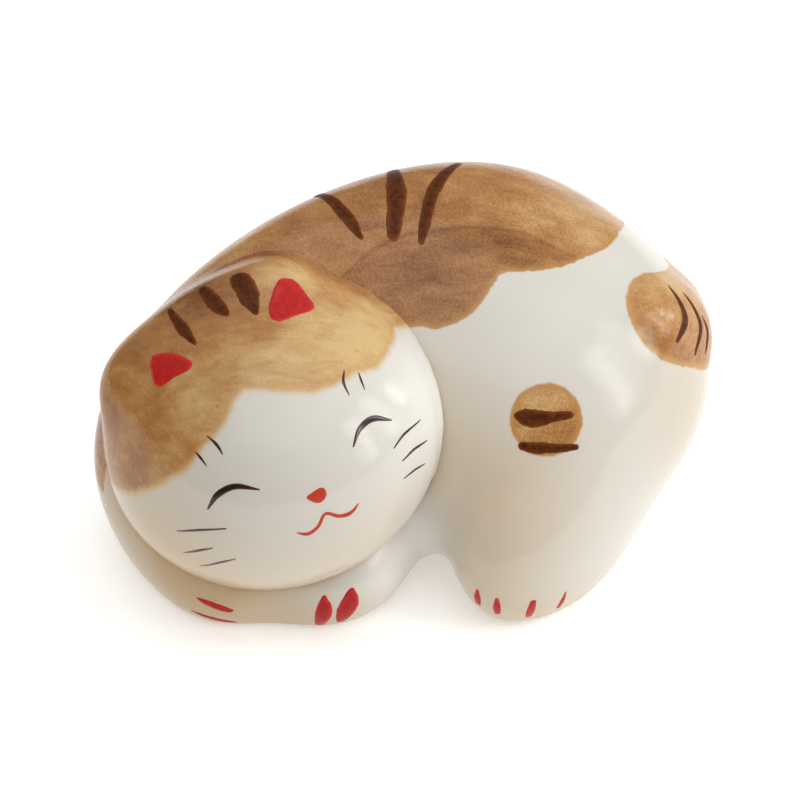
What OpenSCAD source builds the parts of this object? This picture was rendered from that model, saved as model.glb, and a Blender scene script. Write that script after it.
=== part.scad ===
// Sleeping ceramic cat: three glazed castings luted together, with overglaze enamel brush marks.
// Frame: +Z up, the cat's nose towards -Y, its left side towards +X, origin under the middle of
// its bounding box on the table. Every soft form is a few ellipsoids melted into one skin.

/* [Castings] */
// Wall left by the casting slip (mm)
wall_t = 2.8; // [2:0.1:4]
// Vent hole in the base (mm)
vent_d = 3; // [2:0.5:4]
// Air passage between the hollow torso and the hollow head (mm)
passage_d = 3; // [2:0.5:4]
// Gap left between two castings so that they stay separate solids (mm)
seam_gap = 0.02; // [0.01:0.01:0.1]
// How softly the limbs melt into the body (mm)
torso_blend = 3; // [1:0.5:5]
// How softly the ears melt into the head (mm)
head_blend = 1.6; // [0.5:0.1:3]
// How softly the tail's lengths melt together (mm)
tail_blend = 1.2; // [0.5:0.1:3]

/* [Torso ellipsoids: centre x y z, radii x y z, turn about Z] */
// Rump and hips
rump = [10.5, 5.1, 13.5, 19.5, 18.7, 16.3, -5];
// Shoulders and the curved back behind the head
shoulders = [-4.7, 7, 13.3, 27.4, 10.8, 19.3, 32.5];
// Near hind leg and its paw
left_hind_leg = [13.5, -13, 6.2, 8.9, 5.1, 7.6, 42];
// Far hind leg, tucked beside the rump
right_hind_leg = [14.6, 11.4, 7, 9, 7, 8, 0];
// Left front paw, under the chin
left_front_paw = [-7.1, -12.5, 3.9, 5.9, 6.7, 4.8, 0];
// Right front paw, under the cheek
right_front_paw = [-17.5, -11.5, 4.1, 5, 6.8, 4.7, 0];
// Chest and folded forelegs
chest = [-15.1, -7.9, 6.4, 10.9, 7.4, 7.6, 0];
// Nape and throat, where the head is seated
neck = [-18.3, -0.5, 9, 9, 9, 8.5, 0];
// Point inside the torso that its skin is measured from
torso_mid = [2.6, 2.4, 11];

/* [Head, in its own frame: +X the cat's left, -Y the nose, +Z the crown] */
// Middle of the skull
head_at = [-12.6, -8.1, 16.2];
// Tilt: nose up, head rolled over, face turned to its left (degrees)
head_turn = [-15, -17, 23];
// Skull and cheeks
skull = [0, 0, 0, 16.4, 18.4, 14, 0];
// Left ear
left_ear = [5.8, 1.4, 11.6, 3, 2.9, 3.2, 0];
// Right ear
right_ear = [-7.8, 2.6, 9.5, 5, 3.1, 4.1, 0];
// Brow ridge between the ears
crown = [-0.3, 2.5, 11.5, 5.7, 3, 3.6, 0];

/* [Tail: a bobtail pressed on round the rump, tip first] */
// Tip, on the near haunch
tail_tip = [21, 1, 20.3, 6.2, 6.2, 6.2, 0];
// Second length
tail_second = [24.3, 4.2, 18, 5.7, 5.7, 5.7, 0];
// Third length
tail_third = [24.8, 9.3, 16.4, 5, 5, 5, 0];
// Root, at the end of the spine
tail_root = [22.4, 14.6, 15, 5, 5, 5, 0];

/* [Enamel] */
// Thickness of an enamel brush mark (mm)
enamel_t = 0.14; // [0.05:0.01:0.3]
// Clearance between a mark and the casting's facets (mm)
enamel_gap = 0.03; // [0.01:0.01:0.1]
// Stations along a brush mark
mark_steps = 9; // [5:1:16]

/* [Facets] */
// Rings along the torso and head
rings = 38; // [16:2:60]
// Facets round each ring
ring_facets = 64; // [24:4:96]
// Which sub-part to show

/* [Hidden] */
TORSO = [rump, shoulders, left_hind_leg, right_hind_leg, left_front_paw, right_front_paw, chest,
    neck];
HEAD = [skull, left_ear, right_ear, crown];
TAIL = [tail_tip, tail_second, tail_third, tail_root];
tail_mid = (tail_second + tail_third) / 2;
tail_mid_at = [tail_mid[0], tail_mid[1], tail_mid[2]];
glaze_white = [0.93, 0.90, 0.85];
red = [0.70, 0.13, 0.09];
brown = [0.28, 0.13, 0.07];
black = [0.12, 0.08, 0.06];

// ---- Soft forms -----------------------------------------------------------------------------
// Near-true distance from point q to ellipsoid b, negative inside.
function blob(q, b) =
    let (dx = q.x - b[0], dy = q.y - b[1], c = cos(b[6]), s = sin(b[6]),
         v = [(dx * c + dy * s) / b[3], (dy * c - dx * s) / b[4], (q.z - b[2]) / b[5]],
         a = norm(v), g = norm([v.x / b[3], v.y / b[4], v.z / b[5]]))
    a * (a - 1) / g;
// The same for a set of ellipsoids melted together over a blend width.
function form(q, set, blend) =
    -blend * ln([for (b = set) exp(-blob(q, b) / blend)] * [for (b = set) 1]);
// How far from c along d the skin lies, by halving the span n times.
function reach(c, d, set, blend, off, lo, hi, n) =
    n == 0 ? (lo + hi) / 2 :
    let (m = (lo + hi) / 2)
    form(c + m * d, set, blend) > off ? reach(c, d, set, blend, off, lo, m, n - 1)
                                      : reach(c, d, set, blend, off, m, hi, n - 1);
// Unit vector: a is the swing towards +X, b the climb round the X axis from -Y over +Z.
function aim(a, b) = [sin(a), -cos(a) * cos(b), cos(a) * sin(b)];
function unit(v) = v / norm(v);

// Closed skin of a set of ellipsoids seen from the point c inside it.
module skin(c, set, blend, off, lo, hi, na, nb) {
    rim = [for (i = [1:na - 1]) for (j = [0:nb - 1])
        let (d = aim(-90 + 180 * i / na, 360 * j / nb))
        c + d * reach(c, d, set, blend, off, lo, hi, 14)];
    ends = [for (s = [-1, 1]) let (d = [s, 0, 0]) c + d * reach(c, d, set, blend, off, lo, hi, 14)];
    last = (na - 2) * nb;
    polyhedron(
        points = concat(rim, ends),
        faces = concat(
            [for (i = [0:na - 3]) for (j = [0:nb - 1]) let (k = (j + 1) % nb, p = i * nb)
                each [[p + j, p + k, p + nb + k], [p + j, p + nb + k, p + nb + j]]],
            [for (j = [0:nb - 1]) let (k = (j + 1) % nb) each [[last + nb, k, j],
                [last + nb + 1, last + j, last + k]]]));
}

// ---- Brush marks ----------------------------------------------------------------------------
// Value at t (0 to 1) of a smooth curve through evenly spaced values.
function through(v, t) =
    let (n = len(v) - 1, i = min(n - 1, floor(t * n)), u = t * n - i,
         p1 = v[i], p2 = v[i + 1], p0 = i > 0 ? v[i - 1] : 2 * p1 - p2,
         p3 = i < n - 1 ? v[i + 2] : 2 * p2 - p1)
    p1 + u / 2 * (p2 - p0 + u * (2 * p0 - 5 * p1 + 4 * p2 - p3 + u * (3 * (p1 - p2) + p3 - p0)));
// Skin point in direction d.
function on_skin(c, d, set, blend, lo, hi) = c + d * reach(c, d, set, blend, 0, lo, hi, 18);

// One thin brush mark: path holds [a, b] aims along it, widths the full widths in mm.
module mark(path, widths, c, set, blend, lo, hi, steps = mark_steps) {
    across = [-1, -0.4, 0.4, 1];
    m = len(across);
    flat = [for (i = [0:steps])
        let (t = i / steps, p = through(path, t), d = aim(p[0], p[1]),
             p1 = through(path, max(0, t - 0.02)), p2 = through(path, min(1, t + 0.02)),
             run = unit(aim(p2[0], p2[1]) - aim(p1[0], p1[1])),
             side = unit(cross(d, run)), w = max(0.05, through(widths, t) / 2),
             q = on_skin(c, d, set, blend, lo, hi))
        for (k = across) unit(q + side * w * k - c)];
    low = [for (d = flat) on_skin(c, d, set, blend, lo, hi) + d * enamel_gap];
    top = [for (i = [0:len(flat) - 1])
        low[i] + flat[i] * enamel_t * (abs(across[i % m]) == 1 ? 0.35 : 1)];
    n = len(flat);
    polyhedron(
        points = concat(low, top),
        faces = concat(
            [for (i = [0:steps - 1]) for (k = [0:m - 2]) let (p = i * m + k) each [
                [p, p + m, p + m + 1], [p, p + m + 1, p + 1],
                [n + p, n + p + m + 1, n + p + m], [n + p, n + p + 1, n + p + m + 1]]],
            [for (i = [0:steps - 1]) let (p = i * m, r = p + m - 1) each [
                [p, n + p, n + p + m], [p, n + p + m, p + m],
                [r, n + r + m, n + r], [r, r + m, n + r + m]]],
            [for (k = [0:m - 2]) let (p = k, r = steps * m + k) each [
                [p, p + 1, n + p + 1], [p, n + p + 1, n + p],
                [r, n + r + 1, r + 1], [r, n + r, n + r + 1]]]));
}
module head_place() { translate(head_at) rotate(head_turn) children(); }
module head_mark(path, widths, steps = mark_steps) {
    head_place() mark(path, widths, [0, 0, 0], HEAD, head_blend, 8, 24, steps);
}
module torso_mark(path, widths) { mark(path, widths, torso_mid, TORSO, torso_blend, 6, 42); }
module tail_mark(path, widths) { mark(path, widths, tail_mid_at, TAIL, tail_blend, 2, 16); }

// ---- Castings -------------------------------------------------------------------------------
module torso_form(off, na, nb) { skin(torso_mid, TORSO, torso_blend, off, 4, 42, na, nb); }
module head_form(off, na, nb) {
    head_place() skin([0, 0, 0], HEAD, head_blend, off, 6, 24, na, nb);
}
// The passage runs from the middle of the torso to the middle of the head.
module passage() {
    along = head_at - torso_mid;
    translate(torso_mid) rotate([0, acos(along.z / norm(along)), atan2(along.y, along.x)])
        cylinder(d = passage_d, h = norm(along), $fn = 32);
}

module torso() color(glaze_white) {
    difference() {
        intersection() {
            torso_form(0, rings, ring_facets);
            translate([-50, -50, 0]) cube([100, 100, 60]);
        }
        intersection() {
            torso_form(-wall_t, 16, 28);
            translate([-50, -50, wall_t]) cube([100, 100, 60]);
        }
        translate([torso_mid.x, torso_mid.y, -1]) cylinder(d = vent_d, h = wall_t + 3, $fn = 32);
        passage();
    }
}

module head() color(glaze_white) {
    difference() {
        resize([0, 0, 0]) difference() {
            head_form(0, rings, ring_facets);
            torso_form(seam_gap, rings, ring_facets);
        }
        resize([0, 0, 0]) difference() {
            head_form(-wall_t, 14, 24);
            torso_form(wall_t, 20, 32);
        }
        passage();
    }
}

module tail() color(glaze_white) {
    resize([0, 0, 0]) difference() {
        skin(tail_mid_at, TAIL, tail_blend, 0, 2, 16, 18, 28);
        torso_form(seam_gap, rings, ring_facets);
    }
}

// ---- Enamel on the head ---------------------------------------------------------------------
module left_ear_enamel() color(red) head_mark([[20, 81], [22, 74], [23, 67.5]], [1.6, 3.4, 4.4, 4.4, 3]);
module right_ear_enamel() color(red) head_mark([[-34, 78], [-27, 74], [-19, 67]], [2.4, 3.9, 3.5, 2.2, 0.9]);
module nose_enamel() color(red) head_mark([[-5, 5.5], [-2, 4.6], [1.5, 6.5]], [0.5, 1.5, 1.7, 0.9]);
module mouth_enamel() color(red)
    head_mark([[-12, -4], [-9, -6], [-5.5, -5], [-2, -2], [1.5, -5], [5, -6], [8.5, -4.5]],
        [0.15, 0.42, 0.38, 0.34, 0.4, 0.45, 0.15], 18);
module left_eye_enamel() color(black)
    head_mark([[14, 11.5], [19, 15.2], [25, 15.5], [31, 11]], [0.15, 0.5, 0.6, 0.15], 12);
module right_eye_enamel() color(black)
    head_mark([[-35, 12.5], [-29.5, 16.5], [-23, 17], [-16, 13]], [0.15, 0.6, 0.6, 0.15], 12);
module left_brow_inner() color(black) head_mark([[26, 35], [23, 31], [22, 26]], [0.12, 0.3, 0.12]);
module left_brow_outer() color(black) head_mark([[30, 32], [29, 29], [28, 25]], [0.12, 0.25, 0.1]);
module right_brow_inner() color(black) head_mark([[-25, 37], [-23, 32], [-22.5, 28]], [0.12, 0.32, 0.12]);
module right_brow_outer() color(black) head_mark([[-31, 34], [-30, 31], [-29, 27]], [0.12, 0.28, 0.1]);
module left_whisker_top() color(black) head_mark([[43, 2], [33, 4], [26, 3]], [0.12, 0.28, 0.14]);
module left_whisker_mid() color(black) head_mark([[42, -8], [34, -4], [27, -3]], [0.12, 0.3, 0.16]);
module left_whisker_low() color(black) head_mark([[37, -15], [31, -11], [25, -9]], [0.12, 0.26, 0.12]);
module right_whisker_top() color(black) head_mark([[-51, 5], [-41, 5], [-31, 4]], [0.12, 0.28, 0.16]);
module right_whisker_mid() color(black) head_mark([[-53, -10], [-45, -6], [-39, -4]], [0.12, 0.32, 0.14]);
module right_whisker_low() color(black) head_mark([[-49, -19], [-40, -13], [-33, -10]], [0.12, 0.3, 0.16]);
module forehead_stripe_right() color(brown)
    head_mark([[-14, 99], [-14.5, 87], [-14, 75]], [0.5, 1, 1.1, 0.3]);
module forehead_stripe_mid() color(brown)
    head_mark([[-1, 99], [0, 89], [2, 79]], [0.6, 1.5, 1.5, 0.3]);
module forehead_stripe_left() color(brown)
    head_mark([[11, 96], [12, 84], [11, 73]], [1.6, 2.1, 1.7, 0.3]);

// ---- Enamel on the torso --------------------------------------------------------------------
module back_stripe_front() color(brown)
    torso_mark([[-28, 112], [-21, 96], [-18, 89]], [0.7, 1.3, 1.2, 0.5]);
module back_stripe_mid() color(brown)
    torso_mark([[-9, 120], [-8.5, 103], [-10.5, 90]], [1, 1.8, 1.8, 0.9]);
module back_stripe_rear() color(brown)
    torso_mark([[7, 124], [0.5, 106], [-3, 90]], [0.7, 1.2, 1.3, 0.6]);
module flank_bar_upper() color(brown)
    torso_mark([[24, 35], [30, 34], [39, 35]], [0.5, 1.9, 1.2, 0.7]);
module flank_bar_lower() color(brown)
    torso_mark([[25, 25.5], [32, 24.5], [40, 24.5]], [0.7, 1.2, 0.9, 0.6]);
module left_front_claw_outer() color(red)
    torso_mark([[-24, -14], [-23.5, -19], [-24.5, -26]], [0.3, 1.3, 1.4, 0.6]);
module left_front_claw_inner() color(red)
    torso_mark([[-19, -13.5], [-19, -18.5], [-20.5, -25]], [0.4, 1.5, 1.6, 0.4]);
module right_front_claw_upper() color(red)
    torso_mark([[-45, -17], [-42, -18], [-39, -19.5]], [0.2, 0.7, 0.8, 0.5]);
module right_front_claw_lower() color(red)
    torso_mark([[-46, -23.5], [-42, -24], [-38.5, -25]], [0.2, 0.6, 0.6, 0.3]);
module left_hind_claw_1() color(red) torso_mark([[11, -13], [11, -16.5], [11.2, -20]], [0.2, 0.55, 0.4]);
module left_hind_claw_2() color(red) torso_mark([[15, -14], [15, -17.5], [15.2, -21.5]], [0.3, 0.7, 0.5]);
module left_hind_claw_3() color(red) torso_mark([[23, -16], [22.5, -20], [22, -24]], [0.6, 0.9, 0.6]);
module left_hind_claw_4() color(red) torso_mark([[31, -18], [30, -22], [29, -25]], [0.2, 0.55, 0.4]);

// ---- Enamel on the tail ---------------------------------------------------------------------
module tail_stripe_tip() color(brown) 
    tail_mark([[7, 69], [15, 55], [17, 42], [9, 29]], [0.25, 0.7, 1, 0.45]);
module tail_stripe_mid() color(brown) 
    tail_mark([[20, 69], [29, 55], [34, 38], [24, 17]], [0.2, 0.6, 0.75, 0.4]);
module tail_stripe_root() color(brown) 
    tail_mark([[38, 52], [45, 34], [39, 12]], [0.2, 0.6, 0.35]);

torso();
head();
tail();
left_ear_enamel();
right_ear_enamel();
nose_enamel();
mouth_enamel();
left_eye_enamel();
right_eye_enamel();
left_brow_inner();
left_brow_outer();
right_brow_inner();
right_brow_outer();
left_whisker_top();
left_whisker_mid();
left_whisker_low();
right_whisker_top();
right_whisker_mid();
right_whisker_low();
forehead_stripe_right();
forehead_stripe_mid();
forehead_stripe_left();
back_stripe_front();
back_stripe_mid();
back_stripe_rear();
tail_stripe_tip();
tail_stripe_mid();
tail_stripe_root();
flank_bar_upper();
flank_bar_lower();
left_front_claw_outer();
left_front_claw_inner();
right_front_claw_upper();
right_front_claw_lower();
left_hind_claw_1();
left_hind_claw_2();
left_hind_claw_3();
left_hind_claw_4();
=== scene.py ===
import bpy
import numpy as np
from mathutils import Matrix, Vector


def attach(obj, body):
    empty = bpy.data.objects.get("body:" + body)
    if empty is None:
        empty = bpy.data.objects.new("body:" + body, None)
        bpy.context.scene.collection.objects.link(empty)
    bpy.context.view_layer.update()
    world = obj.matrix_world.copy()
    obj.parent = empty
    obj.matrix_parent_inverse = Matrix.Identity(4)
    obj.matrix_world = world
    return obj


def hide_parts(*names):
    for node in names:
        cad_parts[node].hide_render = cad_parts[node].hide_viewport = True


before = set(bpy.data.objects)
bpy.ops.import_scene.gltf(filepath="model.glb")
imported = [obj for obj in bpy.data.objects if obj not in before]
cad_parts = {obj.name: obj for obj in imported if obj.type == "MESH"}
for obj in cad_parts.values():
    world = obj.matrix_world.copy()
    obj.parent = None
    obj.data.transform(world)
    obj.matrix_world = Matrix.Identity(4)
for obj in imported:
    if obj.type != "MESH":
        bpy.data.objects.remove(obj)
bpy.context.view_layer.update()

# ---------------------------------------------------------------------------
# Torso. A hollow porcelain casting with all four legs tucked in, 60 mm long.
# It is slip-cast in one mould, sponged smooth while damp and dipped in glaze,
# then wiped bare underneath so that it doesn't stick to the kiln shelf.

# Each row is one soft mass: centre x y z, radii x y z (mm), turn about Z.
TORSO = [
    (10.5, 5.1, 13.5, 19.5, 18.7, 16.3, -5),       # rump and hips
    (-4.7, 7, 13.3, 27.4, 10.8, 19.3, 32.5),      # shoulders and curved back
    (13.5, -13, 6.2, 8.9, 5.1, 7.6, 42),          # near hind leg
    (14.6, 11.4, 7, 9, 7, 8, 0),                  # far hind leg
    (-7.1, -12.5, 3.9, 5.9, 6.7, 4.8, 0),         # left front paw
    (-17.5, -11.5, 4.1, 5, 6.8, 4.7, 0),          # right front paw
    (-15.1, -7.9, 6.4, 10.9, 7.4, 7.6, 0),        # chest
    (-18.3, -0.5, 9, 9, 9, 8.5, 0),               # nape
]
torso_mid = np.array([2.6, 2.4, 11])
torso_melt = 3.0      # mm over which the limbs melt into the body
foot_round = 0.25     # mm, edge left where the foot is wiped flat
foot_top = 0.00012    # m, everything below this is wiped bare
torso_span = (4, 42)  # mm from the middle, nearest and farthest the skin can lie
halvings = 20         # a 40 mm span comes down to under 0.0001 mm
skin_cells = 130


def near_distance(q, mass):
    """Distance in mm from points q to one soft mass, negative inside it."""
    turn = np.radians(mass[6])
    x, y, z = q[:, 0] - mass[0], q[:, 1] - mass[1], q[:, 2] - mass[2]
    v = np.stack([(x * np.cos(turn) + y * np.sin(turn)) / mass[3],
                  (y * np.cos(turn) - x * np.sin(turn)) / mass[4], z / mass[5]], 1)
    a = np.sqrt((v ** 2).sum(1))
    g = np.sqrt(((v / np.array(mass[3:6])) ** 2).sum(1)) + 1e-9
    return a * (a - 1) / g


def melted(q, masses, melt):
    """Distance in mm from points q to several masses melted together."""
    return -melt * np.log(sum(np.exp(-near_distance(q, m) / melt) for m in masses))


def torso_clay(q):
    return melted(q, TORSO, torso_melt)


# The bobtail swells out of the rump where it was pressed on, tip first.
TAIL = [
    (21, 1, 20.3, 6.2, 6.2, 6.2, 0),            # tip
    (24.3, 4.2, 18, 5.7, 5.7, 5.7, 0),
    (24.8, 9.3, 16.4, 5, 5, 5, 0),
    (22.4, 14.6, 15, 5, 5, 5, 0),               # root
]
tail_melt, tail_sponged = 1.2, 0.5              # mm


def tail_clay(q):
    return melted(q, TAIL, tail_melt)


def tail_on_torso(q):
    """The torso with the tail melted on over the width its edge was sponged down."""
    return -tail_sponged * np.log(np.exp(-torso_clay(q) / tail_sponged)
                                  + np.exp(-tail_clay(q) / tail_sponged))


def torso_form(q):
    """The torso with its tail, cut off softly at the table."""
    body, floor = tail_on_torso(q), -q[:, 2]
    top = np.maximum(body, floor)
    return top + foot_round * np.log(np.exp((body - top) / foot_round)
                                     + np.exp((floor - top) / foot_round))


def skin_points(centre, aims, form, near, far):
    """Where rays from centre leave the form, found by halving the span."""
    lo, hi = np.full(len(aims), float(near)), np.full(len(aims), float(far))
    for _ in range(halvings):
        mid = (lo + hi) / 2
        out = form(centre + aims * mid[:, None]) > 0
        lo, hi = np.where(out, lo, mid), np.where(out, mid, hi)
    return centre + aims * ((lo + hi) / 2)[:, None]


def ball(cells):
    """Even unit ball of quads: six cube faces of cells x cells, pushed out round."""
    t = np.tan(np.linspace(-1, 1, cells + 1) * np.pi / 4)
    u, v = np.meshgrid(t, t, indexing="ij")
    one = np.ones_like(u)
    sides = [(one, u, v), (-one, v, u), (v, one, u), (u, -one, v), (u, v, one), (v, u, -one)]
    grid = np.concatenate([np.stack(s, -1).reshape(-1, 3) for s in sides])
    grid /= np.linalg.norm(grid, axis=1, keepdims=True)
    n = cells + 1
    i, j = np.meshgrid(np.arange(cells), np.arange(cells), indexing="ij")
    k = (i * n + j).ravel()
    quad = np.stack([k, k + n, k + n + 1, k + 1], 1)
    quads = np.concatenate([quad + s * n * n for s in range(6)])
    _, first, merged = np.unique(np.round(grid, 6), axis=0, return_index=True, return_inverse=True)
    return grid[first], merged.ravel()[quads]


def piece(name, points, faces, finish, smooth=True):
    """A mesh object from points in mm, smooth-shaded, with its glaze."""
    mesh = bpy.data.meshes.new(name)
    mesh.from_pydata((points * 0.001).tolist(), [], [list(map(int, f)) for f in faces])
    mesh.validate()
    if smooth:
        mesh.polygons.foreach_set("use_smooth", [True] * len(mesh.polygons))
    for m in finish:
        mesh.materials.append(m)
    made = bpy.data.objects.new(name, mesh)
    bpy.context.scene.collection.objects.link(made)
    return made


def note(made, label, values):
    """Stores one number per point for the glaze to read."""
    layer = made.data.attributes.new(label, "FLOAT", "POINT")
    layer.data.foreach_set("value", np.asarray(values, dtype=np.float32))


def srgb(text):
    """Hex sRGB to linear RGBA."""
    c = [int(text[i:i + 2], 16) / 255 for i in (0, 2, 4)]
    return tuple(x / 12.92 if x <= 0.04045 else ((x + 0.055) / 1.055) ** 2.4 for x in c) + (1,)


def add(tree, kind, settings=None, **links):
    """Adds a node; settings are its properties, links its socket values or sources."""
    made = tree.nodes.new(kind)
    for key, value in (settings or {}).items():
        setattr(made, key, value)
    for key, value in links.items():
        label = key.replace("_", " ")
        socket = made.inputs[int(key[1:])] if key[1:].isdigit() else made.inputs[label]
        if isinstance(value, bpy.types.NodeSocket):
            tree.links.new(value, socket)
        else:
            socket.default_value = value
    return made


def painted_porcelain(name, dark, middle, light, rim, bleed_mm, speckle):
    """Milk-white porcelain under clear gloss glaze, with tan stain brushed on before glazing.

    The stain runs from brown where it lies thick to gold where it thins, shows brush streaks
    and fine specks; the glaze over it is a glassy coat that waves very slightly.
    """
    glaze = bpy.data.materials.new(name)
    glaze.use_nodes = True
    t = glaze.node_tree
    shader = t.nodes["Principled BSDF"]
    where = add(t, "ShaderNodeTexCoord").outputs["Object"]
    stain = add(t, "ShaderNodeAttribute", {"attribute_name": "stain"}).outputs["Fac"]
    tone = add(t, "ShaderNodeAttribute", {"attribute_name": "tone"}).outputs["Fac"]
    second = add(t, "ShaderNodeAttribute", {"attribute_name": "second_coat"}).outputs["Fac"]
    crease = add(t, "ShaderNodeAttribute", {"attribute_name": "crease"}).outputs["Fac"]
    height = add(t, "ShaderNodeSeparateXYZ", Vector=where).outputs["Z"]
    # The stain's edge wanders 0.1 to 0.2 mm each way where it bled under the glaze.
    bleed = add(t, "ShaderNodeTexNoise", Vector=where, Scale=900, Detail=3, Roughness=0.6)
    edge = add(t, "ShaderNodeMath", {"operation": "MULTIPLY_ADD"},
               i0=bleed.outputs["Fac"], i1=0.5, i2=-0.25)
    reach = add(t, "ShaderNodeMath", {"operation": "ADD"}, i0=stain, i1=edge.outputs[0])
    cover = add(t, "ShaderNodeMapRange", {"interpolation_type": "SMOOTHSTEP"},
                Value=reach.outputs[0], From_Min=-0.5 * bleed_mm, From_Max=0.5 * bleed_mm)
    inward = add(t, "ShaderNodeMapRange", {"interpolation_type": "SMOOTHSTEP"},
                 Value=reach.outputs[0], From_Min=0.0, From_Max=0.9)
    # Long brush streaks 1 to 1.6 mm apart over a soft mottle of about 5 mm.
    streak_place = add(t, "ShaderNodeMapping", Vector=where, Scale=(0.35, 1.0, 1.6),
                       Rotation=(0.2, 0.3, 0.45))
    streaks = add(t, "ShaderNodeTexNoise", Vector=streak_place.outputs[0], Scale=620, Detail=4,
                  Roughness=0.6, Distortion=0.5)
    mottle = add(t, "ShaderNodeTexNoise", Vector=where, Scale=190, Detail=3, Roughness=0.5)
    grain = add(t, "ShaderNodeTexNoise", Vector=where, Scale=4200, Detail=2, Roughness=0.75)
    uneven = add(t, "ShaderNodeMath", {"operation": "MULTIPLY_ADD"},
                 i0=streaks.outputs["Fac"], i1=0.7, i2=-0.35)
    uneven = add(t, "ShaderNodeMath", {"operation": "MULTIPLY_ADD"},
                 i0=mottle.outputs["Fac"], i1=0.8, i2=uneven.outputs[0])
    uneven = add(t, "ShaderNodeMath", {"operation": "MULTIPLY_ADD"},
                 i0=grain.outputs["Fac"], i1=speckle, i2=uneven.outputs[0])
    laid = add(t, "ShaderNodeMath", {"operation": "ADD"}, i0=tone, i1=uneven.outputs[0])
    level = add(t, "ShaderNodeMath", {"operation": "SUBTRACT"}, i0=laid.outputs[0],
                i1=0.4 + speckle / 2)
    # Over the second coat everything is a shade browner, most of all along its dried edge.
    doubled = add(t, "ShaderNodeMapRange", {"interpolation_type": "SMOOTHSTEP"},
                  Value=second, From_Min=-0.15, From_Max=0.15, To_Max=-0.16)
    dried = add(t, "ShaderNodeMapRange", {"interpolation_type": "SMOOTHSTEP"},
                Value=add(t, "ShaderNodeMath", {"operation": "ABSOLUTE"}, i0=second).outputs[0],
                From_Min=0.45, From_Max=0.0, To_Max=-0.14)
    level = add(t, "ShaderNodeMath", {"operation": "ADD"}, i0=level.outputs[0],
                i1=doubled.outputs[0])
    level = add(t, "ShaderNodeMath", {"operation": "ADD"}, i0=level.outputs[0],
                i1=dried.outputs[0])
    thick = add(t, "ShaderNodeMix", {"data_type": "RGBA"},
                i0=add(t, "ShaderNodeMapRange", Value=level.outputs[0], From_Min=0.0,
                       From_Max=0.5).outputs[0], i6=srgb(dark), i7=srgb(middle))
    body = add(t, "ShaderNodeMix", {"data_type": "RGBA"},
               i0=add(t, "ShaderNodeMapRange", Value=level.outputs[0], From_Min=0.5,
                      From_Max=1.0).outputs[0], i6=thick.outputs[2], i7=srgb(light))
    tan = add(t, "ShaderNodeMix", {"data_type": "RGBA"}, i0=inward.outputs[0],
              i6=srgb(rim), i7=body.outputs[2])
    # Within 7 mm of the table the white is painted darker and creamier: painted shade near the table.
    painted_foot_shade = add(t, "ShaderNodeMapRange", {"interpolation_type": "SMOOTHSTEP"},
                 Value=height, From_Min=0.007, From_Max=0.0)
    white = add(t, "ShaderNodeMix", {"data_type": "RGBA"}, i0=painted_foot_shade.outputs[0],
                i6=srgb("CFCBC2"), i7=srgb("C9BBA5"))
    painted_shade_and_light = add(t, "ShaderNodeAttribute", {"attribute_name": "painted_shade_and_light"}).outputs["Fac"]
    # Below zero the white is painted paler: painted light on shaded spots.
    thin = add(t, "ShaderNodeMath", {"operation": "MULTIPLY"}, i0=painted_shade_and_light, i1=-1.0)
    white = add(t, "ShaderNodeMix", {"data_type": "RGBA"}, i0=thin.outputs[0],
                i6=white.outputs[2], i7=srgb("EEECE6"))
    # Above zero the white is painted darker and creamier: painted shade.
    with_painted_shade = add(t, "ShaderNodeMix", {"data_type": "RGBA"}, i0=painted_shade_and_light,
                 i6=white.outputs[2], i7=srgb("BFA37C"))
    # Along the join of head and torso a narrow line is darker: glaze pooled in the join, and painted
    # shade in the crease.
    pooled_glaze_and_painted_shade = add(t, "ShaderNodeMix", {"data_type": "RGBA"}, i0=crease,
                 i6=with_painted_shade.outputs[2], i7=srgb("B0956F"))
    colour = add(t, "ShaderNodeMix", {"data_type": "RGBA"}, i0=cover.outputs[0],
                 i6=pooled_glaze_and_painted_shade.outputs[2], i7=tan.outputs[2])
    # Gas escaping through the stain leaves a few pinholes 0.15 to 0.4 mm across.
    hole = add(t, "ShaderNodeTexVoronoi", Vector=where, Scale=520)
    few = add(t, "ShaderNodeMath", {"operation": "GREATER_THAN"},
              i0=add(t, "ShaderNodeSeparateColor", Color=hole.outputs["Color"]).outputs["Red"], i1=0.7)
    pit = add(t, "ShaderNodeMapRange", {"interpolation_type": "SMOOTHSTEP"},
              Value=hole.outputs["Distance"], From_Min=0.11, From_Max=0.04)
    pit = add(t, "ShaderNodeMath", {"operation": "MULTIPLY"}, i0=pit.outputs[0], i1=few.outputs[0])
    pit = add(t, "ShaderNodeMath", {"operation": "MULTIPLY"}, i0=pit.outputs[0], i1=inward.outputs[0])
    colour = add(t, "ShaderNodeMix", {"data_type": "RGBA"},
                 i0=add(t, "ShaderNodeMath", {"operation": "MULTIPLY"}, i0=pit.outputs[0],
                        i1=0.45).outputs[0], i6=colour.outputs[2], i7=srgb("5E3D22"))
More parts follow.
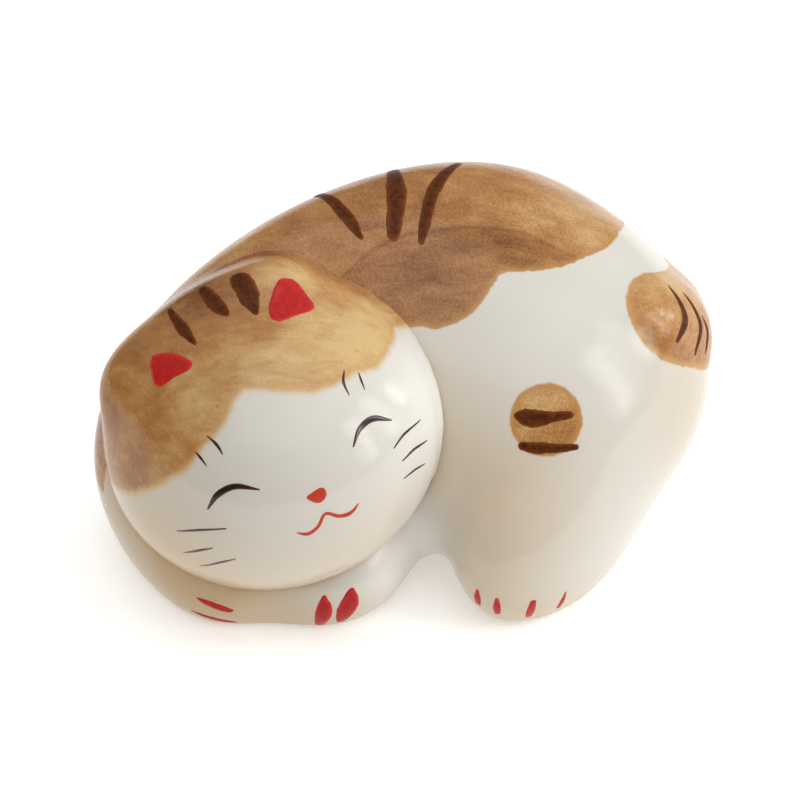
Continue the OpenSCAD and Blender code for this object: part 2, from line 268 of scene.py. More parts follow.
    # A dipped glaze is never quite flat: it keeps the sponge's faint wiping lines.
    wipe_place = add(t, "ShaderNodeMapping", Vector=where, Scale=(1.0, 1.0, 0.07),
                     Rotation=(0.35, 0.2, 0.0))
    wipes = add(t, "ShaderNodeTexNoise", Vector=wipe_place.outputs[0], Scale=4200, Detail=2,
                Roughness=0.6, Distortion=0.6)
    waves = add(t, "ShaderNodeTexNoise", Vector=where, Scale=240, Detail=1)
    swell = add(t, "ShaderNodeBump", Height=waves.outputs["Fac"], Strength=1.0, Distance=0.0001)
    wiped = add(t, "ShaderNodeBump", Height=wipes.outputs["Fac"], Strength=1.0,
                Distance=0.000024, Normal=swell.outputs[0])
    t.links.new(colour.outputs[2], shader.inputs["Base Color"])
    pitted = add(t, "ShaderNodeBump", {"invert": True}, Height=pit.outputs[0], Strength=1.0,
                 Distance=0.00003, Normal=wiped.outputs[0])
    t.links.new(pitted.outputs[0], shader.inputs["Coat Normal"])
    shader.inputs["Roughness"].default_value = 0.5
    shader.inputs["IOR"].default_value = 1.5
    shader.inputs["Specular IOR Level"].default_value = 0.0
    shader.inputs["Coat Weight"].default_value = 0.75
    shader.inputs["Coat Roughness"].default_value = 0.05
    shader.inputs["Coat IOR"].default_value = 1.5
    shader.inputs["Subsurface Weight"].default_value = 0.15
    shader.inputs["Subsurface Radius"].default_value = (1.0, 0.75, 0.5)
    shader.inputs["Subsurface Scale"].default_value = 0.0015
    return glaze


# The wiped foot shows fired porcelain clay: matte, slightly grey, with fine grit.
bisque = bpy.data.materials.new("bare_bisque_porcelain")
bisque.use_nodes = True
t = bisque.node_tree
grit = add(t, "ShaderNodeTexNoise", Vector=add(t, "ShaderNodeTexCoord").outputs["Object"],
           Scale=2500, Detail=4)
clay = add(t, "ShaderNodeMix", {"data_type": "RGBA"}, i0=grit.outputs["Fac"],
           i6=srgb("D8CFC0"), i7=srgb("E6DFD3"))
t.links.new(clay.outputs[2], t.nodes["Principled BSDF"].inputs["Base Color"])
t.links.new(add(t, "ShaderNodeBump", Height=grit.outputs["Fac"], Strength=0.3,
                Distance=0.00005).outputs[0], t.nodes["Principled BSDF"].inputs["Normal"])
t.nodes["Principled BSDF"].inputs["Roughness"].default_value = 0.85

torso_glaze = painted_porcelain("torso_porcelain_tan_saddle", "74431A", "AA7844", "CDAC78",
                                "B3824A", 0.3, 0.9)

# Outline of the tan saddle over the spine, seen from above (mm), near edge then far edge.
SADDLE = [(21.8, 13.3), (21.2, 10), (20, 6), (17.9, 3.2), (15, 0.8), (12, -0.2), (9.6, -0.5),
          (8.7, -1.5), (7.7, -3.1), (6.5, -4.4), (4.8, -5.1), (2.9, -5.2), (0.5, -4.6), (-6, -5),
          (-14, -5), (-24, -7), (-30, -9), (-31, 2), (-26, 5.5), (-20, 9.5), (-13, 13.5), (-6, 17),
          (0, 20), (6, 22.5), (11, 23.5), (17, 22.5), (20.9, 18)]
# Where a second, darker coat was brushed over the near side of the saddle.
SECOND_COAT = [(16.8, 2.1), (15.3, 2.9), (13.6, 3.8), (11.4, 4.8), (8.3, 5), (5.5, 4.8), (3, 4.2),
               (0.6, 3.5), (-1.6, 2.4), (-2.8, 1.6), (-4.2, 0.4), (-5.7, -1), (-8, -4), (-4, -8),
               (4, -9), (9, -6), (14, -2)]
# The round spot on the flank: its middle and radius in mm.
spot_at, spot_radius = np.array([13.5, -12.0, 20.5]), 3.5
upper_body = (9.0, 38.0)    # mm, heights between which the stains are painted
# How low the saddle reaches down the right shoulder: compass in degrees about the body's
# middle (180 is the cat's right), height in mm.
SHOULDER_EDGE = [(140, 19), (152, 17.5), (163, 15), (175, 12.2), (186, 10.4), (197, 9), (205, 9.4),
                 (212, 11.6), (220, 14.6), (230, 18), (245, 20)]


def closed_curve(corners, steps=12):
    """Smooth closed curve through the corners, as many points."""
    p = np.array(corners, dtype=float)
    a, b, c, d = np.roll(p, 1, 0), p, np.roll(p, -1, 0), np.roll(p, -2, 0)
    u = (np.arange(steps) / steps)[None, :, None]
    a, b, c, d = (x[:, None] for x in (a, b, c, d))
    return (b + u / 2 * (c - a + u * (2 * a - 5 * b + 4 * c - d
                                      + u * (3 * (b - c) + d - a)))).reshape(-1, p.shape[1])


def inside(points, outline):
    """Which points (x, y) lie inside a closed outline."""
    x, y = points[:, :1], points[:, 1:2]
    x1, y1 = outline[:, 0], outline[:, 1]
    x2, y2 = np.roll(x1, -1), np.roll(y1, -1)
    rises = (y1 > y) != (y2 > y)
    return (rises & (x < (x2 - x1) * (y - y1) / np.where(y2 == y1, 1e-9, y2 - y1) + x1)).sum(1) % 2 == 1


def tone_from(points, base, touches):
    """Thickness of the stain at each point: 0 thick and brown, 1 thin and gold."""
    spread = np.array(touches, dtype=float)
    gap = ((points[:, None] - spread[None, :, :3]) ** 2).sum(2)
    return base + (np.exp(-gap / spread[:, 3] ** 2) * spread[:, 4]).sum(1)


# Where the brush left more or less stain: x y z (mm), spread (mm), change.
TORSO_TONE = [(19, 8, 28, 6, 0.35), (14, 13, 30, 6, 0.1), (5, 11, 32, 6, -0.1), (-15, 4, 30.5, 3, 0.3),
              (-6, -1, 29.5, 3, 0.1), (0, 1, 30, 6, -0.1), (-10, 2, 31.7, 5, -0.1),
              (-20, 3, 28, 5, 0.2), (13.4, -10, 23, 3, 0.35), (13.4, -12, 19.5, 3, 0.2)]
# Painted shade where the white is darker and creamier, and below zero painted light where it is paler: x
# y z (mm), spread (mm), amount.
# The head's are in its own frame.
TORSO_PAINTED_SHADE_AND_LIGHT = [(-27, -8, 9, 8, 0.6), (-20, -18, 6, 7, 0.9), (-17, -18, 9, 5, 0.4),
               (-10, -17, 2, 5, 0.4), (27, 4, 11, 8, 0.5), (25.5, -4, 16, 6, 0.3),
               (9.5, -16, 14, 8, 0.5), (4, -8, 18, 6, 0.25), (8, -20, 4, 6, 0.4),
               (-1, -15.5, 6.5, 4.5, -0.9)]
HEAD_PAINTED_SHADE_AND_LIGHT = [(-9, -9, -9, 8, 0.5), (2, -13, -9, 8, 0.4), (-15, -5, -2, 7, 0.45),
              (-12, -10, 1, 7, 0.3), (14.2, -9.5, -0.5, 6, -0.7), (15, -6, -7, 5, -0.4)]


def nearest(points, edge):
    """Distance in mm from each point to the nearest point of an edge, 60 batches to save memory."""
    gap = np.concatenate([((part[:, None] - edge) ** 2).sum(2).min(1)
                          for part in np.array_split(points, 60)])
    return np.sqrt(gap)


def depth_in_stain(points, quads, sign):
    """Millimetres along the skin from each point to the edge of a stain, positive inside it."""
    line = np.concatenate([quads[:, [0, 1]], quads[:, [1, 2]], quads[:, [2, 3]], quads[:, [3, 0]]])
    a, b = sign[line[:, 0]], sign[line[:, 1]]
    cut = (a > 0) != (b > 0)
    line, share = line[cut], (a / (a - b + 1e-12))[cut, None]
    edge = points[line[:, 0]] * (1 - share) + points[line[:, 1]] * share
    edge = edge[:: max(1, len(edge) // 700)]
    return np.where(sign > 0, 1, -1) * nearest(points, edge)


def depth_in_outline(points, corners, form):
    """The same for a closed outline drawn in plan on the upper body."""
    plan = closed_curve(corners)
    lo, hi = (np.full(len(plan), height) for height in upper_body)
    for _ in range(halvings):
        mid = (lo + hi) / 2
        out = form(np.column_stack([plan, mid])) > 0
        lo, hi = np.where(out, lo, mid), np.where(out, mid, hi)
    # Past the shoulder the outline leaves the body, and SHOULDER_EDGE closes the stain.
    edge = np.column_stack([plan, lo])[lo > upper_body[0] + 0.01]
    depth = np.where(inside(points, plan), 1, -1) * nearest(points, edge)
    compass = np.degrees(np.arctan2(points[:, 1] - torso_mid[1], points[:, 0] - torso_mid[0])) % 360
    above = points[:, 2] - np.where((compass > 140) & (compass < 245),
                                    np.interp(compass, *zip(*SHOULDER_EDGE)), upper_body[0])
    return np.minimum(depth, above)


aims, quads = ball(skin_cells)
skin = skin_points(torso_mid, aims, torso_form, *torso_span)
torso = piece("torso_casting", skin, quads, [torso_glaze, bisque])
for face in torso.data.polygons:
    if face.center.z < foot_top:
        face.material_index = 1
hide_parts("torso")
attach(torso, "root")

# ---------------------------------------------------------------------------
# Tail. A bobtail rolled from the same clay and pressed on round the rump while
# both were damp; its edge is sponged down so that it swells out of the body.


def tail_stain(q):
    """Distance to the tail's tan, which fills in the waist over its root."""
    return melted(q, TAIL + [(24.0, 12.2, 15.6, 5.4, 5.4, 5.4, 0)], 1.6)


bare = skin_points(torso_mid, (skin - torso_mid) / np.linalg.norm(skin - torso_mid, axis=1)[:, None],
                   torso_clay, *torso_span)
stained = np.maximum.reduce([depth_in_outline(skin, SADDLE, torso_clay),
                             spot_radius - np.linalg.norm(skin - spot_at, axis=1),
                             depth_in_stain(skin, quads, -tail_stain(bare))])
note(torso, "stain", stained)
second = depth_in_outline(skin, SECOND_COAT, torso_clay)
note(torso, "second_coat", np.where(stained > 0, second, -9))
note(torso, "tone", tone_from(skin, 0.4, TORSO_TONE))

tail_glaze = painted_porcelain("tail_porcelain_tan", "74431A", "AA7844", "CDAC78",
                               "BC8E52", 0.3, 0.7)
tail_mid = np.array([24.55, 6.75, 17.2])
cap_cells, cap_reach = 150, 1.1      # a square net of rays, as wide as the tail and a rim
cap_rim, cap_depth = 0.6, 1.0        # mm kept past the stain, and how deep the cap's back lies
tail_span = (4, 44)                  # mm
tail_aim = tail_mid - torso_mid
tail_aim /= np.linalg.norm(tail_aim)
across = np.cross(tail_aim, (0, 0, 1))
across /= np.linalg.norm(across)
upward = np.cross(across, tail_aim)
net = np.linspace(-cap_reach, cap_reach, cap_cells)
u, v = np.meshgrid(net, net, indexing="ij")
rays = tail_aim + u.reshape(-1, 1) * across + v.reshape(-1, 1) * upward
rays /= np.linalg.norm(rays, axis=1, keepdims=True)
outer = skin_points(torso_mid, rays, tail_on_torso, *tail_span)
plain = skin_points(torso_mid, rays, torso_clay, *tail_span)
step = np.arange(cap_cells ** 2).reshape(cap_cells, cap_cells)
whole = np.stack([step[:-1, :-1], step[1:, :-1], step[1:, 1:], step[:-1, 1:]], -1).reshape(-1, 4)
tail_depth = depth_in_stain(outer, whole, -tail_stain(plain))
keep = (tail_depth > -cap_rim).reshape(cap_cells, cap_cells)
i, j = np.nonzero(keep[:-1, :-1] & keep[1:, :-1] & keep[:-1, 1:] & keep[1:, 1:])
k = i * cap_cells + j
cap = np.stack([k, k + cap_cells, k + cap_cells + 1, k + 1], 1)
# The cap is closed by a back under the body's skin.
inner = plain - rays * cap_depth
# It stands 0.02 mm proud inside its stain and dips under the glaze at the rim.
proud = np.clip(tail_depth * 0.06, -0.03, 0.02)
surface = np.concatenate([outer + rays * proud[:, None], inner])
back = cap_cells ** 2
under = cap[:, ::-1] + back
lines = dict.fromkeys((a, b) for f in cap for a, b in zip(f, np.roll(f, -1)))
sides = [(b, a, a + back, b + back) for a, b in lines if (b, a) not in lines]
used = np.unique(np.concatenate([cap.ravel(), under.ravel()]))
renumber = np.full(len(surface), -1)
renumber[used] = np.arange(len(used))
faces = [renumber[list(f)] for f in list(cap) + list(under) + sides]
tail = piece("tail_bobtail", surface[used], faces, [tail_glaze])
note(tail, "stain", np.tile(tail_depth, 2)[used])
TAIL_TONE = [(26.5, 2.5, 23.5, 4, 0.3), (23, -3, 23, 3, -0.15), (27.5, -1, 19, 4, -0.3)]
note(tail, "tone", tone_from(surface[used], 0.55, TAIL_TONE))
note(tail, "second_coat", np.full(len(used), -9))
note(tail, "crease", np.zeros(len(used)))
note(tail, "painted_shade_and_light", np.zeros(len(used)))
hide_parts("tail")
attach(tail, "root")

# ---------------------------------------------------------------------------
# Head. A second hollow casting, luted to the nape and resting on the front
# paws. Two low ears and the brow ridge between them are part of the casting.

# In the head's own frame: +X the cat's left, -Y the nose, +Z the crown.
HEAD = [
    (0, 0, 0, 16.4, 18.4, 14, 0),                 # skull and cheeks
    (5.8, 1.4, 11.6, 3, 2.9, 3.2, 0),             # left ear
    (-7.8, 2.6, 9.5, 5, 3.1, 4.1, 0),             # right ear
    (-0.3, 2.5, 11.5, 5.7, 3, 3.6, 0),            # brow ridge
]
head_melt = 1.6                      # mm
head_at = np.array([-12.6, -8.1, 16.2])
# Face tipped up, head rolled onto its right cheek and swung to the cat's left.
tip, roll, swing = np.radians((-15, -17, 23))
head_swung = np.array([[np.cos(swing), -np.sin(swing), 0], [np.sin(swing), np.cos(swing), 0],
                       [0, 0, 1]])
head_rolled = np.array([[np.cos(roll), 0, np.sin(roll)], [0, 1, 0],
                        [-np.sin(roll), 0, np.cos(roll)]])
head_tipped = np.array([[1, 0, 0], [0, np.cos(tip), -np.sin(tip)], [0, np.sin(tip), np.cos(tip)]])
head_axes = head_swung @ head_rolled @ head_tipped


def head_clay(q):
    """Distance from points in the head's own frame."""
    return melted(q, HEAD, head_melt)


# Lower edge of the tan cap: height in degrees above the eyes' level, at compass
# steps round the head from the right ear's back (-180) past the nose (0).
CAP_EDGE = [(-180, 5), (-120, 5), (-84, 10), (-69, 13), (-51, 19), (-39, 24), (-31, 30), (-23, 34),
            (-16, 41), (-10, 44), (-4, 42), (5, 37), (13, 32), (23, 29), (33, 28), (40, 24), (52, 23),
            (72, 22), (79, 17), (120, 8), (180, 5)]
head_glaze = painted_porcelain("head_porcelain_tan_cap", "74431A", "AA7844", "CDAC78",
                               "C69C5E", 1.0, 0.45)
aims, quads = ball(skin_cells)
head_span = (6, 24)                  # mm
local = skin_points(np.zeros(3), aims, head_clay, *head_span)
compass = np.degrees(np.arctan2(local[:, 0], -local[:, 1]))
climb = np.degrees(np.arcsin(local[:, 2] / np.linalg.norm(local, axis=1)))


def head_to_table(q):
    """Points of the head's own frame, set down where the head rests."""
    return q @ head_axes.T + head_at


def slip_filled(rays, length):
    """Lengths of head rays where slip fills the join: a small fillet behind the brow and ears
    and down the left cheek."""
    rise = np.degrees(np.arcsin(rays[:, 2]))
    turn = np.degrees(np.arctan2(rays[:, 0], -rays[:, 1]))
    cheek = (np.interp(turn, (30, 55, 130, 150), (0, 1, 1, 0))
             * np.interp(rise, (-30, -10, 28), (0, 1, 1)))
    f = np.maximum(np.interp(rise, (28, 50), (0.02, 0.5)), 0.02 + 0.45 * cheek)
    body = torso_clay(head_to_table(rays * length[:, None]))
    still = (np.abs(body) < 4) & (f > 0.021)
    grown = length.copy()
    for step in range(60):
        reach = length[still] + 0.04 * step - 0.02
        here = rays[still] * reach[:, None]
        head_d, body_d = head_clay(here), torso_clay(head_to_table(here)) + 0.06
        low, k = np.minimum(head_d, body_d), f[still]
        full = low - k * np.log(np.exp((low - head_d) / k) + np.exp((low - body_d) / k)) < 0
        at = np.nonzero(still)[0]
        grown[at[full]] = reach[full]
        # A ray stops where it leaves the slip, or on the cheek once it is under the body's skin.
        done = ~full | ((body_d < -0.3) & (rise[at] < 28))
        still[at[done]] = False
    grown[still] = length[still]
    return np.maximum(grown, length)


length = np.linalg.norm(local, axis=1)
slip = np.minimum(slip_filled(aims, length) - length, 1.0)
# A damp finger run round the join evens the slip out.
finger_strokes = 16
here, beside = quads.ravel(), np.roll(quads, -1, 1).ravel()
number = len(slip)
met = np.bincount(here, minlength=number) + np.bincount(beside, minlength=number)
for stroke in range(finger_strokes):
    around = np.bincount(here, slip[beside], number) + np.bincount(beside, slip[here], number)
    slip = 0.5 * slip + 0.5 * around / met
local_skin = aims * (length + slip)[:, None]
head_skin = head_to_table(local_skin)
head = piece("head_casting", head_skin, quads, [head_glaze])
edge_height = np.interp(compass, *zip(*CAP_EDGE))
note(head, "stain", depth_in_stain(local, quads, climb - edge_height))
# Where the brush left more or less stain, in the head's own frame.
HEAD_TONE = [(-12.5, -2, 9.5, 5, -0.1), (-11, 0, 12, 4, -0.1), (-12, -8, 7.5, 4.5, -0.05),
             (-9, -10.7, 9.7, 4.5, 0.25), (-4.5, -2, 14, 4, -0.1), (-1, 1, 15.5, 4, -0.3),
             (4, -11, 11, 5, 0.25), (-5, -10, 11, 4, 0.2), (9, -9.5, 9, 5, 0.35),
             (12, -7, 7.5, 5, 0.3), (7.6, 0, 14.7, 2.5, 0.3), (9.5, 0, 12.9, 3, 0.1),
             (14.5, -1.7, 6.5, 4, 0.25)]
to_body = np.maximum(torso_clay(head_skin), 0)
to_head = np.maximum(head_clay((skin - head_at) @ head_axes), 0)
note(head, "tone", tone_from(local, 0.5, HEAD_TONE) - 0.3 * np.exp(-(to_body / 0.8) ** 2))
note(head, "second_coat", np.full(len(local), -9))
# The crease line darkens within about 0.25 mm of the join: glaze pooling and painted shade.
note(head, "crease", 0.6 * np.exp(-to_body / 0.25))
note(torso, "crease", 0.6 * np.exp(-to_head / 0.25))
# Near the join of head and torso the white is painted creamier still: painted shade cast by the other
# part.
note(head, "painted_shade_and_light", np.minimum(1, tone_from(local, 0, HEAD_PAINTED_SHADE_AND_LIGHT) + 0.1 * np.exp(-to_body / 1.5)))
note(torso, "painted_shade_and_light", np.minimum(1, tone_from(skin, 0, TORSO_PAINTED_SHADE_AND_LIGHT) + 0.2 * np.exp(-to_head / 1.2)))
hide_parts("head")
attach(head, "root")

# ---------------------------------------------------------------------------
# Red enamel. Iron-red overglaze brushed on with a small round brush and fired
# again at low heat: the hollows of the ears, the nose, the mouth and the claws.


def enamel(name, light, dark, rough, gloss):
    """Overglaze enamel: glassy and a little uneven, thicker in the middle of a stroke."""
    paint = bpy.data.materials.new(name)
    paint.use_nodes = True
    t = paint.node_tree
    shader = t.nodes["Principled BSDF"]
    where = add(t, "ShaderNodeTexCoord").outputs["Object"]
    load = add(t, "ShaderNodeAttribute", {"attribute_name": "load"}).outputs["Fac"]
    # Pigment grain, from about 0.6 mm down.
    grain = add(t, "ShaderNodeTexNoise", Vector=where, Scale=1700, Detail=5, Roughness=0.7)
    amount = add(t, "ShaderNodeMath", {"operation": "MULTIPLY_ADD"},
                 i0=grain.outputs["Fac"], i1=1.6, i2=load)
    depth = add(t, "ShaderNodeMapRange", Value=amount.outputs[0], From_Min=0.9, From_Max=2.0)
    tint = add(t, "ShaderNodeMix", {"data_type": "RGBA"}, i0=depth.outputs[0],
               i6=srgb(light), i7=srgb(dark))
    bump = add(t, "ShaderNodeBump", Height=grain.outputs["Fac"], Strength=0.25, Distance=0.00008)
    t.links.new(tint.outputs[2], shader.inputs["Base Color"])
    t.links.new(bump.outputs[0], shader.inputs["Normal"])
    shader.inputs["Roughness"].default_value = rough
    shader.inputs["IOR"].default_value = 1.5
    shader.inputs["Specular IOR Level"].default_value = 0.08
    shader.inputs["Coat Weight"].default_value = gloss
    shader.inputs["Coat Roughness"].default_value = 0.12
    return paint


def aim(angles):
    """Unit rays: swing towards +X and climb round the X axis from -Y over +Z, in degrees."""
    a, b = np.radians(np.atleast_2d(angles)).T
    return np.stack([np.sin(a), -np.cos(a) * np.cos(b), np.cos(a) * np.sin(b)], 1)


def through(values, t):
    """Smooth curve through evenly spaced values, at t from 0 to 1."""
    v = np.array(values, dtype=float)
    v = v[:, None] if v.ndim == 1 else v
    v = np.concatenate([[2 * v[0] - v[1]], v, [2 * v[-1] - v[-2]]])
    n = len(v) - 3
    i = np.minimum(n - 1, (t * n).astype(int))
    u = (t * n - i)[:, None]
    a, b, c, d = v[i], v[i + 1], v[i + 2], v[i + 3]
    return b + u / 2 * (c - a + u * (2 * a - 5 * b + 4 * c - d + u * (3 * (b - c) + d - a)))


shaky = np.random.default_rng(7)
fused = 0.06    # mm, how deep a mark sinks into the glaze


def brush_mark(node, path, widths, paint, where="torso", thick=0.09, shake=0.05):
    """One stroke of enamel, domed and fused to the glaze, along aims in degrees and widths in mm."""
    centre, form, near, far = {
        "torso": (torso_mid, torso_clay, 6, 42),
        "tail": (tail_mid, tail_on_torso, 2, 16),
        "head": (np.zeros(3), head_clay, 8, 24)}[where]
    steps, over = 48, 11      # rings along the stroke and points across it
    t = np.linspace(0, 1, steps + 1)
    rays = aim(through(path, t))
    ahead = aim(through(path, np.minimum(1, t + 0.02))) - aim(through(path, np.maximum(0, t - 0.02)))
    side = np.cross(rays, ahead)
    side /= np.linalg.norm(side, axis=1, keepdims=True)

    def on_skin(out):
        point = skin_points(centre, out, form, near, far)
        if where == "head":
            point = out * slip_filled(out, np.linalg.norm(point, axis=1))[:, None]
        return point

    base = on_skin(rays)
    width = np.maximum(0.03, through(widths, t)[:, 0])
    # A lifted brush leaves round ends.
    run = np.concatenate([[0], np.cumsum(np.linalg.norm(np.diff(base, axis=0), axis=1))])
    for off, end in ((run, width[2]), (run[-1] - run, width[-3])):
        short = np.clip(off / (end / 2 + 1e-6), 0, 1)
        width = width * np.sqrt(np.clip(1 - (1 - short) ** 2, 0.003, 1))
    # Both edges of a stroke wander a little on their own.
    phase = shaky.uniform(0, 6.28, (2, 4))
    rate = np.array([9.0, 17.0, 31.0, 53.0])
    wobble = [sum(np.sin(rate[i] * t + p[i]) / (i + 1.5) for i in range(4)) * shake for p in phase]
    k = np.linspace(-1, 1, over)
    reach = np.where(k[None] < 0, (width / 2 * (1 + wobble[0]))[:, None],
                     (width / 2 * (1 + wobble[1]))[:, None]) * k[None]
    flat = base[:, None] + side[:, None] * reach[..., None]
    flat = flat.reshape(-1, 3) - centre
    flat /= np.linalg.norm(flat, axis=1, keepdims=True)
    on = on_skin(flat)
    swell = np.sqrt(np.clip(1 - np.abs(k) ** 2.5, 0, 1))[None] * np.minimum(1, width / 0.5)[:, None]
    swell = swell * np.clip(np.minimum(t, 1 - t) * 12, 0, 1)[:, None] ** 0.5
    top = on + flat * (thick * swell.ravel() - 0.004)[:, None]
    low = on - flat * fused
    n, m = len(on), over
    faces = []
    for i in range(steps):
        for j in range(m - 1):
            p = i * m + j
            faces += [(p, p + 1, p + m + 1, p + m), (n + p, n + p + m, n + p + m + 1, n + p + 1)]
        for p, q in ((i * m, (i + 1) * m), ((i + 2) * m - 1, (i + 1) * m - 1)):
            faces.append((p, q, n + q, n + p))
    for j in range(m - 1):
        p, q = j, steps * m + j
        faces += [(p + 1, p, n + p, n + p + 1), (q, q + 1, n + q + 1, n + q)]
    points = np.concatenate([top, low])
    if where == "head":
        points = points @ head_axes.T + head_at
    made = piece(node + "_stroke", points, faces, [paint])
    note(made, "load", np.concatenate([swell.ravel(), swell.ravel()]))
    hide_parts(node)
    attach(made, "root")
    return made


def brush_patch(node, outline, paint, thick=0.09):
    """A filled patch of enamel on the head inside an outline of aims in degrees."""
    corner = aim(outline)
    middle = corner.mean(0)
    edge = closed_curve(corner, 8)
    edge = edge + (edge - middle) * shaky.normal(0, 0.012, (len(edge), 1))
    rings = np.linspace(0, 1, 9)[1:]
    rays = np.concatenate([[middle]] + [middle + (edge - middle) * r for r in rings])
    rays /= np.linalg.norm(rays, axis=1, keepdims=True)
    on = skin_points(np.zeros(3), rays, head_clay, 8, 24)
    swell = np.concatenate([[1.0]] + [np.full(len(edge), np.sqrt(max(0, 1 - r ** 6))) for r in rings])
    top = on + rays * (thick * swell - 0.004)[:, None]
    low = on - rays * fused
    n, m = len(on), len(edge)
    faces = []
    for j in range(m):
        k = (j + 1) % m
        faces += [(0, 1 + j, 1 + k), (n, n + 1 + k, n + 1 + j)]
        for r in range(len(rings) - 1):
            p, q = 1 + r * m + j, 1 + r * m + k
            faces += [(p, p + m, q + m, q), (n + p, n + q, n + q + m, n + p + m)]
        p, q = n - m + j, n - m + k
        faces.append((p, n + p, n + q, q))
    made = piece(node + "_patch", head_to_table(np.concatenate([top, low])), faces, [paint])
    note(made, "load", np.tile(swell * 0.8, 2))
    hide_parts(node)
    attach(made, "root")
    return made


iron_red = enamel("iron_red_enamel", "CA2E2A", "A00E0E", 0.22, 0.25)
coral = enamel("coral_red_enamel", "C84A36", "B03020", 0.3, 0.2)
brush_patch("left_ear_enamel", [(24, 85), (29, 84), (31.5, 78), (32.5, 71), (30.5, 67), (24, 66),
                                (17.5, 65.5), (15, 68.5), (16, 74), (19.5, 80)],
            iron_red)
brush_patch("right_ear_enamel", [(-28, 85), (-23, 80), (-19.5, 72.5), (-18.5, 68), (-21, 66),
                                 (-27, 68), (-33, 69.5), (-35, 74), (-33, 80), (-31, 84)],
            iron_red)
brush_patch("nose_enamel", [(0.5, 6), (1, 4), (-0.5, 2.3), (-2.8, 2.3), (-5, 5.2), (-2.3, 6.1)],
            coral, 0.05)
brush_mark("mouth_enamel", [(-12, -4), (-9, -6), (-5.5, -5), (-2, -2), (1.5, -5), (5, -6),
                            (8.5, -4.5)],
           [0.15, 0.42, 0.38, 0.34, 0.4, 0.45, 0.15], coral, "head", thick=0.05)
for node, path, widths in [
        ("left_front_claw_outer", [(-24, -14), (-23.5, -19), (-24.5, -26)], [0.3, 1.3, 1.4, 0.6]),
        ("left_front_claw_inner", [(-19, -13.5), (-19, -18.5), (-20.5, -25)], [0.4, 1.5, 1.6, 0.4]),
        ("right_front_claw_upper", [(-45, -17), (-42, -18), (-39, -19.5)], [0.2, 0.7, 0.8, 0.5]),
        ("right_front_claw_lower", [(-46, -23.5), (-42, -24), (-38.5, -25)], [0.2, 0.6, 0.6, 0.3]),
        ("left_hind_claw_1", [(11, -13), (11, -16.5), (11.2, -20)], [0.2, 0.55, 0.4]),
        ("left_hind_claw_2", [(15, -14), (15, -17.5), (15.2, -21.5)], [0.3, 0.7, 0.5]),
        ("left_hind_claw_3", [(23, -16), (22.5, -20), (22, -24)], [0.6, 0.9, 0.6]),
        ("left_hind_claw_4", [(31, -18), (30, -22), (29, -25)], [0.2, 0.55, 0.4])]:
    brush_mark(node, path, widths, iron_red)

# ---------------------------------------------------------------------------
# Brown enamel. Manganese-brown stripes on the forehead, back and tail, and two
# bars on the flank spot, each one pull of a loaded brush, thin where it lifts.

manganese = enamel("manganese_brown_enamel", "7E4212", "3A1604", 0.45, 0.06)
for node, path, widths in [
        ("forehead_stripe_right", [(-14, 99), (-14.5, 87), (-14, 75)], [0.5, 1, 1.1, 0.3]),
        ("forehead_stripe_mid", [(-1, 99), (0, 89), (2, 79)], [0.6, 1.5, 1.5, 0.3]),
        ("forehead_stripe_left", [(11, 96), (12, 84), (11, 73)], [1.6, 2.1, 1.7, 0.3])]:
    brush_mark(node, path, widths, manganese, "head", shake=0.1)
for node, path, widths in [
        ("back_stripe_front", [(-28, 112), (-21, 96), (-18, 89)], [0.7, 1.3, 1.2, 0.5]),
        ("back_stripe_mid", [(-9, 120), (-8.5, 103), (-10.5, 90)], [1, 1.8, 1.8, 0.9]),
        ("back_stripe_rear", [(7, 124), (0.5, 106), (-3, 90)], [0.7, 1.2, 1.3, 0.6]),
        ("flank_bar_upper", [(24, 35), (30, 34), (39, 35)], [0.5, 1.9, 1.2, 0.7]),
        ("flank_bar_lower", [(25, 25.5), (32, 24.5), (40, 24.5)], [0.7, 1.2, 0.9, 0.6])]:
    brush_mark(node, path, widths, manganese, shake=0.1)
for node, path, widths in [
        ("tail_stripe_tip", [(7, 69), (15, 55), (17, 42), (9, 29)], [0.25, 0.7, 1, 0.45]),
        ("tail_stripe_mid", [(20, 69), (29, 55), (34, 38), (24, 17)], [0.2, 0.6, 0.75, 0.4]),
        ("tail_stripe_root", [(38, 52), (45, 34), (39, 12)], [0.2, 0.6, 0.35])]:
    brush_mark(node, path, widths, manganese, "tail")

# ---------------------------------------------------------------------------
# Black enamel. Hair-fine lines drawn with a liner brush: two closed smiling
# eyes, a pair of brow ticks over each and three whiskers on each cheek.

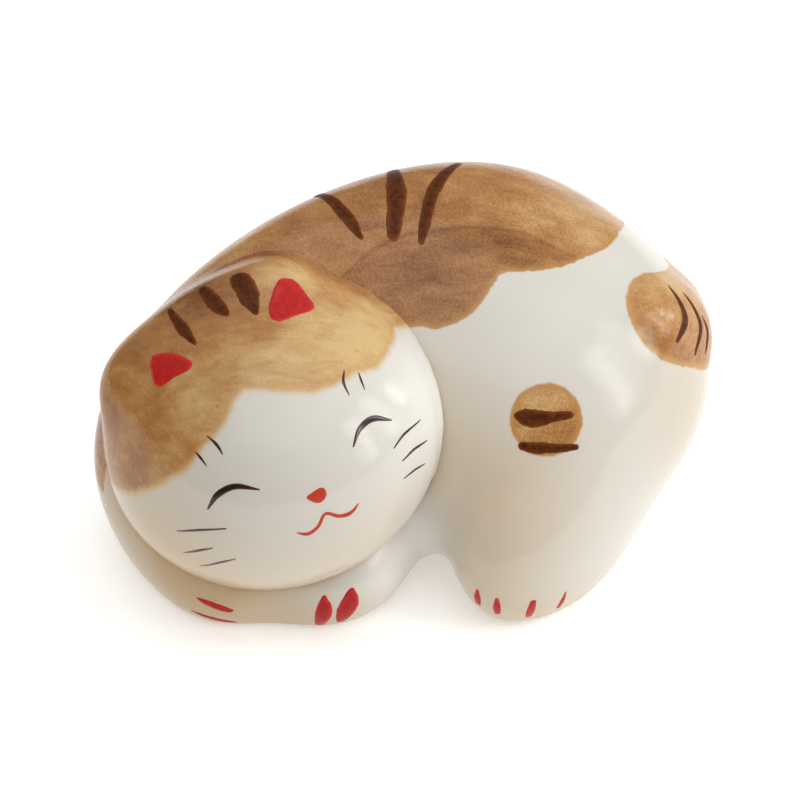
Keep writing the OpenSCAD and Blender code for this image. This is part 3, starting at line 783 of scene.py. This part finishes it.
liner = enamel("brown_black_liner_enamel", "46281A", "1E0D06", 0.3, 0.8)
for node, path, widths in [
        ("left_eye_enamel", [(14, 11.5), (19, 15.2), (25, 15.5), (31, 11)], [0.15, 0.5, 0.6, 0.15]),
        ("right_eye_enamel", [(-35, 12.5), (-29.5, 16.5), (-23, 17), (-16, 13)], [0.15, 0.6, 0.6, 0.15]),
        ("left_brow_inner", [(26, 35), (23, 31), (22, 26)], [0.12, 0.3, 0.12]),
        ("left_brow_outer", [(30, 32), (29, 29), (28, 25)], [0.12, 0.25, 0.1]),
        ("right_brow_inner", [(-25, 37), (-23, 32), (-22.5, 28)], [0.12, 0.32, 0.12]),
        ("right_brow_outer", [(-31, 34), (-30, 31), (-29, 27)], [0.12, 0.28, 0.1]),
        ("left_whisker_top", [(43, 2), (33, 4), (26, 3)], [0.12, 0.28, 0.14]),
        ("left_whisker_mid", [(42, -8), (34, -4), (27, -3)], [0.12, 0.3, 0.16]),
        ("left_whisker_low", [(37, -15), (31, -11), (25, -9)], [0.12, 0.26, 0.12]),
        ("right_whisker_top", [(-51, 5), (-41, 5), (-31, 4)], [0.12, 0.28, 0.16]),
        ("right_whisker_mid", [(-53, -10), (-45, -6), (-39, -4)], [0.12, 0.32, 0.14]),
        ("right_whisker_low", [(-49, -19), (-40, -13), (-33, -10)], [0.12, 0.3, 0.16])]:
    brush_mark(node, path, widths, liner, "head", thick=0.04)

# ---------------------------------------------------------------------------
# Table, studio light and camera. The cat lies on a sheet of opal acrylic, lit a
# little from below so that its shadow stays pale, in front of tall windows on
# its left, under a broad top light and a white surround.

table_top = bpy.data.meshes.new("table")
table_top.from_pydata([(-3, -3, 0), (3, -3, 0), (3, 3, 0), (-3, 3, 0)], [], [(0, 1, 2, 3)])
table = bpy.data.objects.new("table", table_top)
bpy.context.scene.collection.objects.link(table)
# Opal acrylic, cast and matte, lit a little from below.
acrylic = bpy.data.materials.new("matte_opal_acrylic")
acrylic.use_nodes = True
sheet = acrylic.node_tree.nodes["Principled BSDF"]
sheet.inputs["Base Color"].default_value = srgb("F8F8F7")
sheet.inputs["Roughness"].default_value = 0.9
sheet.inputs["Emission Color"].default_value = (1, 1, 1, 1)
sheet.inputs["Emission Strength"].default_value = 0.33
table_top.materials.append(acrylic)

# The surround is bright overhead and falls off towards the table.
world = bpy.data.worlds.new("white_surround")
bpy.context.scene.world = world
world.use_nodes = True
w = world.node_tree
side = add(w, "ShaderNodeVectorMath", {"operation": "DOT_PRODUCT"},
           i0=add(w, "ShaderNodeTexCoord").outputs["Generated"], i1=(0.2, 0.1, 0.97))
grade = add(w, "ShaderNodeMapRange", {"interpolation_type": "SMOOTHSTEP"},
            Value=side.outputs["Value"], From_Min=-0.15, From_Max=1.0, To_Min=0.06, To_Max=0.79)
w.links.new(grade.outputs[0], w.nodes["Background"].inputs["Strength"])
w.nodes["Background"].inputs["Color"].default_value = (1, 0.99, 0.97, 1)


cat_middle = (-0.0004, -0.0006, 0.014)    # m, what the lights and the camera look at


def softbox(name, azimuth, elevation, distance, size, power):
    """A soft light aimed at the cat: azimuth from the front towards its left, size in m, power in W."""
    lamp = bpy.data.lights.new(name, "AREA")
    lamp.shape = "RECTANGLE"
    lamp.size, lamp.size_y = size
    lamp.energy = power
    a, e = np.radians((azimuth, elevation))
    out = np.array([np.cos(e) * np.sin(a), -np.cos(e) * np.cos(a), np.sin(e)])
    holder = bpy.data.objects.new(name, lamp)
    bpy.context.scene.collection.objects.link(holder)
    holder.location = Vector(out * distance) + Vector((0, 0, cat_middle[2]))
    holder.rotation_euler = Vector(out).to_track_quat("Z", "Y").to_euler()


softbox("window_left_of_cat", 68, 28, 0.6, (0.09, 0.42), 0.75)
softbox("window_by_the_tail", 93, 27, 0.6, (0.08, 0.42), 0.62)
softbox("window_behind_cat", 114, 18, 0.6, (0.05, 0.2), 0.3)
softbox("top_light", -20, 80, 0.8, (1.0, 1.0), 3.0)

camera = bpy.data.objects.new("camera", bpy.data.cameras.new("camera"))
bpy.context.scene.collection.objects.link(camera)
bpy.context.scene.camera = camera
camera.data.lens, camera.data.sensor_width = 180, 36
camera.data.clip_start, camera.data.clip_end = 0.01, 20
camera_far, camera_tilt = 0.392, np.radians(38)    # m, looking down
camera.location = Vector(cat_middle) + camera_far * Vector((0, -np.cos(camera_tilt),
                                                            np.sin(camera_tilt)))
camera.rotation_euler = (np.pi / 2 - camera_tilt, 0, 0)
bpy.context.scene.view_settings.view_transform = "Standard"
